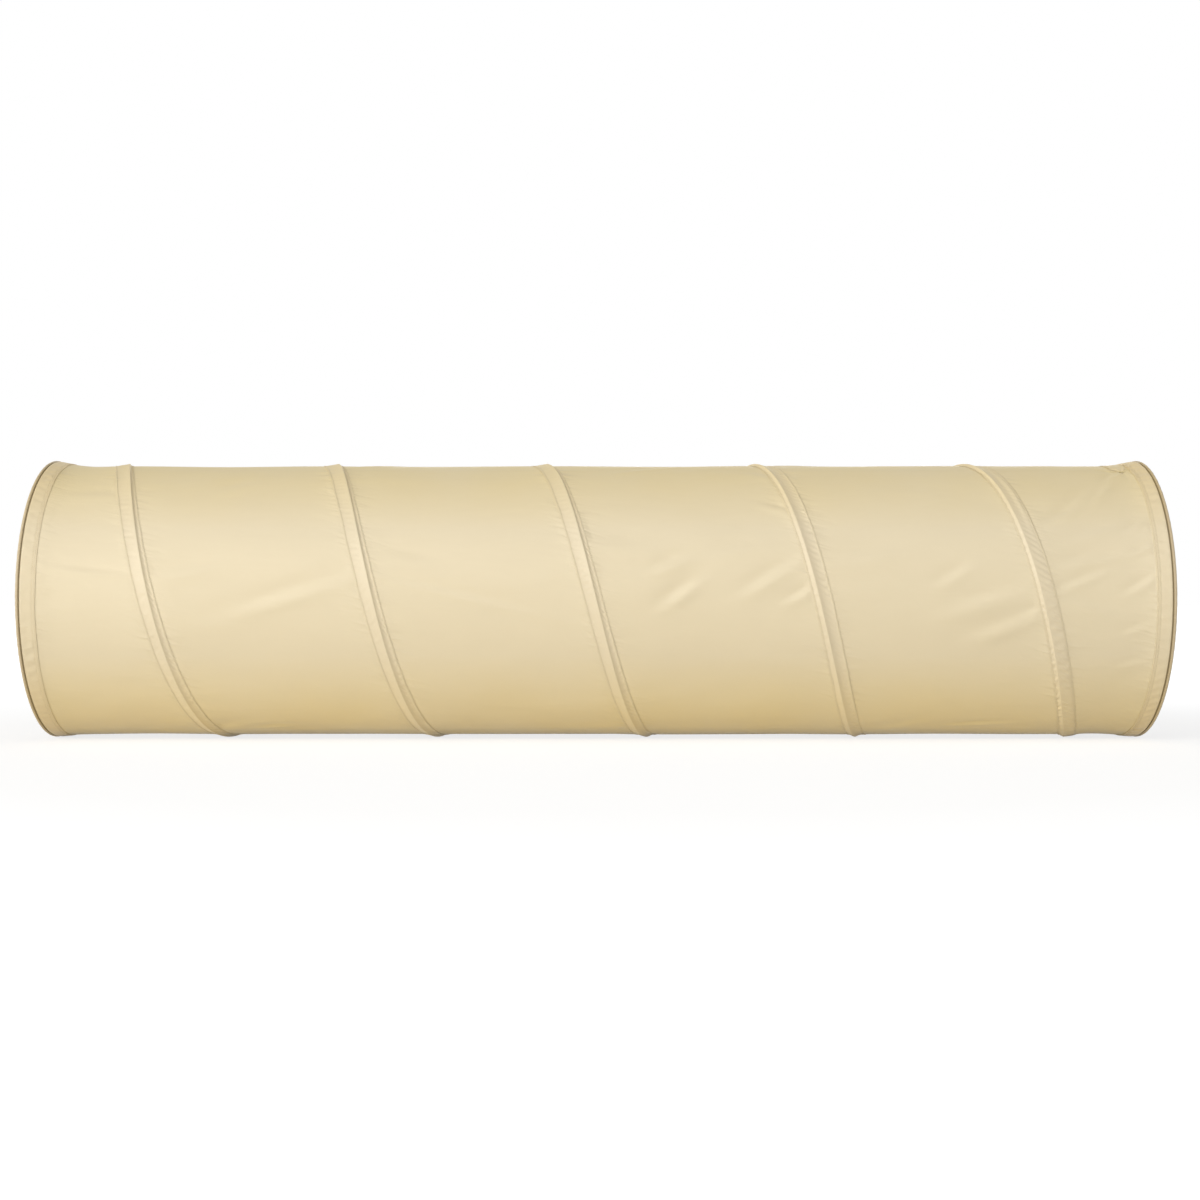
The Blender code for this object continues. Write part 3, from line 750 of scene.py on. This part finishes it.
skin_cloth = cloth("skin_cloth", (0.785, 0.685, 0.485), (0.80, 0.64, 0.29), 0.6, 0.017, 0.0011)
rows = 480
column_step = 0.0033
near_seam = np.array([0.0, 0.0012, 0.0024, 0.004])
round_seam = near_seam / round_tube
evenly = np.linspace(round_seam[-1], 1 - round_seam[-1], rows)[1:-1]
turn = (seam_turn - 1 + np.concatenate([round_seam, evenly, 1 - round_seam[:0:-1]]))[:, None]
arc = np.append(turn, turn[0] + 1)[:, None] * math.tau * cloth_radius
for bay in range(1, bays + 1):
    left = skin_begins - half_length if bay == 1 else bay_edges[bay - 1]
    right = half_length - skin_begins if bay == bays else bay_edges[bay]
    steps = int(round((right - left) / column_step))
    step = (right - left) / steps
    x = left + step * np.arange(-1, steps + 2)[None, :]
    points = on_tube(x, tube_radius(x) + drape(x, turn), turn)
    inner = x[:, 1:-1]
    # Painted shade: from_seam sets where the cloth's colour is darkened: beside the casing and hem edges,
    # and fully within the bar tack's pit, where it falls below zero.
    seam = np.minimum(np.maximum(neighbours(inner, turn)[0], 0), from_tack(inner, turn) - tack_half)
    normals = slopes(points)
    mesh = surface(f"cloth_{bay}", points[:, 1:-1], together(arc, inner), seam, True, normals)
    piece = put(f"cloth_{bay}", mesh, skin_cloth, left_bodies[bay - 1], "skin_cloth", f"skin_bay_{bay}")
    fold_with_bay(piece)

# The casing: a strip of the same cloth, its edges turned under, sewn down along both edges so that it is
# drawn tight over the coil like a low tent. The coil shifts from one side of it to the other.
casing_cloth = cloth("casing_cloth", (0.77, 0.67, 0.48), (0.79, 0.63, 0.30), 0.8, 0.006, 0.0008)
casing_flat = 0.034
casing_rows = 640
covers = 0.0004
stitched_height = 0.0003
empty_height = 0.0005
puffs_at = 4.115
tightens_at = 3.95
stitch_column = 5
wire_column = 20


def touch(foot, foot_height, centre_height, radius):
    """Where cloth drawn tight from a foot leaves a circle: the tangent from a point at (-foot, height) to a
    circle of the given radius at (0, centre height). Gives the tangent point and its direction's angle."""
    rise = centre_height - foot_height
    reach = np.hypot(foot, rise)
    angle = np.arctan2(rise, foot) + np.arcsin(radius / reach)
    length = np.sqrt(reach**2 - radius**2)
    return -foot + length * np.cos(angle), foot_height + length * np.sin(angle), angle


def ripple(run, across, fineness, seed):
    """Small slanting puckers: five sines along the run whose phase drifts across, summed to about one."""
    chosen = np.random.default_rng(seed)
    total = 0
    for wave in fineness * chosen.uniform(0.6, 1.6, 5):
        drift = chosen.uniform(-0.9, 0.9) * wave
        strength = 0.5 + 0.5 * np.sin(run * chosen.uniform(9, 23) + chosen.uniform(0, 6))
        total = total + strength * np.sin(run * wave + across * drift + chosen.uniform(0, 6))
    return total / 2.2


def across_casing(turn):
    """The casing's section at each turn (rows, 1): offsets from the wire along X, and heights above the
    tube. From its left edge, which is a small round fold, flat to the stitching, up to the wire in a power
    of the way there, over the wire in an arc, and down the same way but slacker, so that it falls steeply
    beside the wire. Beyond the coil's end it sinks flat, and narrows to its bar tack."""
    held = held_radius(turn)
    radius = held + air + covers
    past = np.clip((coil_first - turn) / fold_end, 0, 1) + np.clip((turn - coil_last) / fold_end, 0, 1)
    sink = 1 - past * past * (3 - 2 * past)
    run = turn * math.tau * cloth_radius
    feet = []
    for way, seed in ((-1, 3), (1, 4)):
        edge = way * (casing_half + 0.0004 * ripple(run, 0, 90, seed)) - ridge_offset(turn)
        puff = bell(turn - puffs_at, 0.05) if way > 0 else 0 * turn
        slack = 1.25 if way < 0 else 2.5 - 1.95 * np.clip((turn - tightens_at) / 0.28, 0, 1)
        stitch = edge - way * stitch_inset
        tangent, top, angle = touch(np.abs(stitch), stitched_height, air + held, radius)
        part = np.linspace(0, 1, 9)[None, 1:-1]
        ramp = -np.abs(stitch) + (np.abs(stitch) + tangent) * part
        lift = stitched_height + (top - stitched_height) * part**slack
        taut = np.sin(part * math.pi)
        loose = 0.00034 * (1 + 1.6 * np.clip((turn - 4.12) / 0.1, 0, 1))
        lift = lift + taut * loose * ripple(run, part * 0.02 * way, 420, seed + 5)
        if way > 0:
            lift = lift + 0.00062 * bell(part, 0.34) * ripple(run, part * 0.016, 600, 77)
        lift = lift + 0.0024 * puff * bell(part - 0.22, 0.2)
        lip = np.array([[0.0009, 0.0, -0.00012, 0.0002, 0.0009]])
        lips = np.array([[0.00005, 0.00015, 0.0004, 0.0006, 0.00058]]) * (1 if way < 0 else 0.6)
        lips = lips + np.array([[0, 0, 0, 0.4, 1.0]]) * 0.0014 * puff
        rise = ripple(run, 0, 560, seed + 9) * np.array([[0, 0, 0.00010, 0.00026, 0.00036]])
        offs = np.concatenate([np.abs(edge) - lip + 0 * turn, np.abs(stitch), -ramp, -tangent], 1)
        highs = np.concatenate([lips + rise, 0.00024 + 0.0009 * puff + 0 * turn, lift, top], 1)
        feet.append((way, offs * way, highs, angle))
    arc = np.linspace(0, 1, 9)[None, 1:-1]
    start, stop = feet[0][3] + math.pi / 2, math.pi / 2 - feet[1][3]
    around = start + (stop - start) * arc
    offs = np.concatenate([feet[0][1], radius * np.cos(around), feet[1][1][:, ::-1]], 1)
    highs = np.concatenate([feet[0][2], air + held + radius * np.sin(around), feet[1][2][:, ::-1]], 1)
    near_tack = np.clip((turn - empty_end) / 0.03 + 1, 0, 1)
    offs = (offs + ridge_offset(turn)) * (1 - 0.7 * near_tack * near_tack) - ridge_offset(turn)
    return offs, np.minimum(highs, empty_height) * (1 - sink) + highs * sink


casing_seams, bar_tacks = {}, {}
for bay in range(1, bays + 1):
    starts = coil_first - fold_end if bay == 1 else bay - 2
    stops = empty_end if bay == bays else bay - 1
    steps = int(round((stops - starts) * casing_rows))
    step = (stops - starts) / steps
    turn = starts + step * np.arange(-1, steps + 2)[:, None]
    offs, highs = across_casing(turn)
    x = wire_x(turn) + offs
    points = on_tube(x, tube_radius(x) + highs + tuck(x, turn), turn)
    down = points[2:] - points[:-2]
    sideways = np.gradient(points, axis=1)[1:-1]
    normal = unit(np.cross(down, sideways))
    points, offs, highs, turn = points[1:-1], offs[1:-1], highs[1:-1], turn[1:-1]
    sideways, upwards = np.diff(offs, axis=1, prepend=offs[:, :1]), np.diff(highs, axis=1, prepend=0)
    width = np.cumsum(np.hypot(sideways, upwards), 1)
    over_wire = points[:, wire_column]
    walk = np.linalg.norm(np.diff(over_wire, axis=0, prepend=over_wire[:1]), axis=1)
    run = (starts * math.tau * cloth_radius + np.cumsum(walk))[:, None]
    plan = together(run, width)
    sewn = (stitch_column, -1 - stitch_column)
    # Painted shade: from_seam sets where the casing's colour is darkened: along both stitch rows, and fully
    # within the bar tack's pit, where it falls below zero.
    seam = np.minimum(*(np.abs(width - width[:, [column]]) for column in sewn))
    seam = np.minimum(seam, from_tack(points[..., 0], turn) - tack_half)
    name, body = f"casing_{bay}", left_bodies[bay - 1]
    mesh = surface(name, points, plan, seam, normals=normal)
    piece = put(name, mesh, casing_cloth, body, "casing_cloth", f"coil_casing_bay_{bay}")
    fold_with_bay(piece)
    flat = (casing_flat, float(walk.sum()))
    casing_seams[bay] = [(points[:, column], normal[:, column]) for column in sewn]
    if bay in (1, bays):
        last = 1 if bay == 1 else -2
        bar_tacks[bay] = (points[last, 4:-4], normal[last, 4:-4], over_wire[last + 1] - over_wire[last])

# The hem: the tube's end turned back as a band about 24 mm wide on both faces of the cloth, gathered a
# little, and sewn through with two rows of stitching at its inner edge. At the outer edge it runs on into
# the rolled edge.
hem_cloth = cloth("hem_cloth", (0.775, 0.67, 0.47), (0.78, 0.605, 0.29), 0.7, 0.012, 0.0006, 0.75)
hem_seams = {}
hem_section = np.array(
    [(30.3, 0.02), (30.45, 0.25), (30.5, 0.6), (30.35, 0.95), (29.9, 1.08), (29.2, 0.98), (28.5, 0.62)]
    + [(27.8, 0.98), (26.9, 1.08), (26.1, 0.98), (25.3, 0.62), (24.4, 0.95), (23.0, 1.1), (21.2, 1.15)]
    + [(19.2, 1.15), (17.2, 1.15), (15.2, 1.15), (13.2, 1.15), (11.2, 1.1), (9.2, 0.95), (7.8, 0.6)]
    + [(7.1, 0.0), (6.75, -0.55), (6.3, -1.05), (5.25, -1.4), (5.25, -1.65), (7.2, -1.6), (9.5, -1.3)]
    + [(14.0, -1.25), (17.0, -1.25), (20.0, -1.25), (22.5, -1.25), (24.0, -1.25), (25.0, -1.25)]
    + [(26.0, -1.25), (26.8, -1.2), (27.2, -0.9), (27.2, -0.55)]
)
inwards, highs = hem_section.T / 1000
across_hem = np.cumsum(np.hypot(np.diff(inwards, prepend=inwards[0]), np.diff(highs, prepend=highs[0])))
outer_columns = 26
thread_rows = (0.0285, 0.0253)
groove = 0.0072
once_round = (np.arange(600) / 600)[:, None]
closed_round = np.append(once_round, [[1.0]], 0) * math.tau
run = once_round * math.tau * cloth_radius
full = np.sin(np.clip((inwards - 0.0075) / 0.021, 0, 1) * math.pi) ** 0.7 * np.sign(highs)
free = np.clip(np.minimum(*(np.abs(inwards - row) for row in thread_rows)) / 0.0014, 0, 1)
near_edge = np.clip((inwards - 0.02) / 0.008, 0, 1)
# Painted shade: the outer columns, which dive into the groove, take their distance past the groove's edge as
# from_seam, so the hem's colour darkens there; the rest are far from it.
in_groove = np.where(np.arange(len(inwards)) < outer_columns, np.maximum(inwards - groove, 0), 1.0)
# Each end: its side, how thick the band's top layer stands, and how far the painted shade is held off the
# stitching and off the groove.
hem_ends_differ = (("left", -1, 0.62, 0.0018, 0.0006), ("right", 1, 1, 0.0010, 0))
for end, side, thickness, lightest, paler in hem_ends_differ:
    wobble = 0.0004 * ripple(run, 0, 70, 21 + side)
    pulled_in = 1 + 2.5 * bell(once_round - 0.10, 0.06) if side > 0 else 1
    puckers = ripple(run, inwards * 0.6, 330, 23 + side) * 0.00050 * pulled_in
    broad = ripple(run, inwards, 95, 31 + side) * 0.00045
    outer = np.where(highs > 0, highs * thickness, highs)
    lifts = outer + full * (puckers * free + np.abs(broad))
    x = side * (half_length - (inwards + wobble * near_edge))
    points = on_tube(x, tube_radius(x) + lifts + tuck(x, once_round), once_round)
    onwards = slice(None, None, side)
    points, width = points[:, onwards], across_hem[onwards]
    plan = together(closed_round * cloth_radius, width)
    sewn = (6, 10) if side > 0 else (-7, -11)
    by_thread = np.minimum(*(np.abs(width - width[column]) for column in sewn))
    by_thread = np.maximum(by_thread, lightest)
    seam = np.minimum(by_thread, (in_groove + paler)[onwards]) + 0 * once_round
    mesh = surface(f"{end}_hem", points, plan, seam, ring=True)
    piece = put(f"{end}_hem", mesh, hem_cloth, f"{end}_end", "hem_cloth", f"{end}_hem_band")
    hem_seams[end] = [points[:, column] for column in sewn]

# The rolled edge: the band's outer fold, wrapped tight round the hoop and sewn close to it, so that a groove
# parts it from the hem, dark by its own shade and by shade painted into both cloths.
# Painted shade: the rolled edge is the hem's own cloth, coloured darker than the hem for the shade along the
# mouth's edge.
piping_cloth = cloth("piping_cloth", (0.62, 0.51, 0.335), (0.62, 0.48, 0.24), 0.6, 0.004, 0.0006, 1.0)
barely_open = 0.998
angle = np.linspace(-math.pi, math.pi, 29)[None, :] * barely_open
facing = np.cos(angle / 2)
run = once_round * math.tau * ring_radius
for end, side in (("left", -1), ("right", 1)):
    radius = piping_radius - 0.00018 + (0.00016 * ripple(run, angle * 0.004, 300, 41 + side)) * facing
    radius = radius - 0.0010 * (1 - facing) ** 2
    x = side * (half_length - piping_radius - 0.0001) + radius * np.cos(angle) * side
    rise = hoop_radius + radius * np.sin(angle)
    points = on_tube(x, rise, once_round, ring_height)[:, ::-side]
    plan = together(closed_round * ring_radius, angle * piping_radius)
    # Painted shade: a quarter of the distance from the groove, set as from_seam, darkens the colour strongly
    # towards the groove.
    from_groove = (barely_open * math.pi - np.abs(angle)) * piping_radius
    seam = np.broadcast_to(from_groove * 0.25, points.shape[:2])
    mesh = surface(f"{end}_piping", points, plan, seam, ring=True)
    piece = put(f"{end}_piping", mesh, piping_cloth, f"{end}_end", "piping_cloth", f"{end}_edge_piping")

# The stitching: lockstitch in spun polyester thread, a stitch each three millimetres or so, along both
# edges of the casing and in two rows round each hem, and a bar tack across each end of the casing.
thread_size = 0.00030
stitch_length = 0.0031
under_casing = 0.0012
under_hem = 0.0019
tack_margin = 0.0015
tack_pace = 0.0008
tack_reach = 0.0011
thread, tree, shader = new_material("spun_thread")
laid = tree.nodes.new("ShaderNodeTexCoord")
fibres = noise(tree, laid.outputs["Object"], scale=2600, detail=2)
tree.links.new(mixed(tree, fibres, (0.70, 0.58, 0.36), (0.86, 0.75, 0.52)), shader.inputs["Base Color"])
tree.links.new(maths(tree, "MULTIPLY_ADD", fibres, 0.2, 0.5), shader.inputs["Roughness"])
shader.inputs["Sheen Weight"].default_value = 0.2
raise_relief(tree, fibres, 0.5, 0.0001)


def picked(places, walked, values):
    """A line's points or directions at places along it, given how far along each known one lies."""
    return np.stack([np.interp(places, walked, values[:, k]) for k in range(3)], -1)


def stitches(seam_points, seam_normals, ring=False, length=stitch_length, inside=0.0):
    """Vertices and faces of a row of stitches along a line of points: each is a five-sided thread that dips
    at both ends, set on the line's own arc length. inside moves the row under the cloth, turned over."""
    path, normal = seam_points, seam_normals
    if ring:
        path, normal = np.append(path, path[:1], 0), np.append(normal, normal[:1], 0)
    if inside:
        path, normal = path - normal * inside, -normal
    walked = walk_along(path)
    count = max(1, int(walked[-1] / length))
    pace = walked[-1] / count
    middles = (np.arange(count) + 0.5) * pace
    centre, up = picked(middles, walked, path), picked(middles, walked, normal)
    ahead, behind = np.minimum(middles + 0.001, walked[-1]), np.maximum(middles - 0.001, 0)
    along = unit(picked(ahead, walked, path) - picked(behind, walked, path))
    up -= (up * along).sum(1)[:, None] * along
    up = unit(up)
    side = np.cross(along, up)
    spots = np.array([-0.5, -0.36, 0.0, 0.36, 0.5])
    sizes = np.array([0.0, 0.9, 1.0, 0.9, 0.0]) * thread_size
    lifts = np.array([-0.5, 0.6, 0.95, 0.6, -0.5]) * thread_size
    angle = np.arange(5) / 5 * math.tau
    long = spots[:, None] * pace * 0.86 + 0 * angle
    high = lifts[:, None] + sizes[:, None] * np.cos(angle)
    wide = sizes[:, None] * np.sin(angle)
    shape = np.stack([long, high, wide], -1).reshape(-1, 3)
    basis = np.stack([along, up, side], 1)
    verts = centre[:, None] + np.einsum("vk,skx->svx", shape, basis)
    k = np.arange(5)
    quads = []
    for ringed in range(4):
        low = ringed * 5 + k
        nxt = ringed * 5 + (k + 1) % 5
        quads.append(np.stack([low, nxt, nxt + 5, low + 5], -1))
    quads = np.concatenate(quads)
    faces = quads[None] + (np.arange(count) * 25)[:, None, None]
    return verts.reshape(-1, 3), faces.reshape(-1, 4)


def thread_mesh(name, rows_of_stitches):
    """One mesh of several rows of stitches, with the doubled points at the threads' tips merged."""
    verts, faces, count = [], [], 0
    for spots, quads in rows_of_stitches:
        verts.append(spots)
        faces.append(quads + count)
        count += len(spots)
    mesh = bpy.data.meshes.new(name)
    mesh.from_pydata(np.concatenate(verts).tolist(), [], np.concatenate(faces).tolist())
    solid = bmesh.new()
    solid.from_mesh(mesh)
    bmesh.ops.remove_doubles(solid, verts=solid.verts, dist=0.000005)
    bmesh.ops.recalc_face_normals(solid, faces=solid.faces)
    solid.to_mesh(mesh)
    solid.free()
    mesh.shade_smooth()
    return mesh


for bay in range(1, bays + 1):
    rows_here = []
    for path, normal in casing_seams[bay]:
        rows_here.append(stitches(path, normal))
        rows_here.append(stitches(path, normal, inside=under_casing))
    if bay in bar_tacks:
        path, normal, along = bar_tacks[bay]
        along = unit(along) * tack_reach
        walked = walk_along(path)
        for place in np.arange(tack_margin, walked[-1] - tack_margin, tack_pace):
            spot, up = picked(place, walked, path), picked(place, walked, normal)
            across = np.array([spot - along, spot + along])
            rows_here.append(stitches(across, np.array([up, up]), length=0.002))
    name = f"casing_stitching_{bay}"
    piece = put(name, thread_mesh(name, rows_here), thread, left_bodies[bay - 1])
    fold_with_bay(piece)
for end in ("left", "right"):
    rows_here = []
    for path in hem_seams[end]:
        outwards = path - np.array([0, 0, ring_height])
        outwards[:, 0] = 0
        outwards = unit(outwards)
        rows_here.append(stitches(path, outwards, ring=True))
        rows_here.append(stitches(path, outwards, ring=True, inside=under_hem))
    name = f"{end}_hem_stitching"
    put(name, thread_mesh(name, rows_here), thread, f"{end}_end")
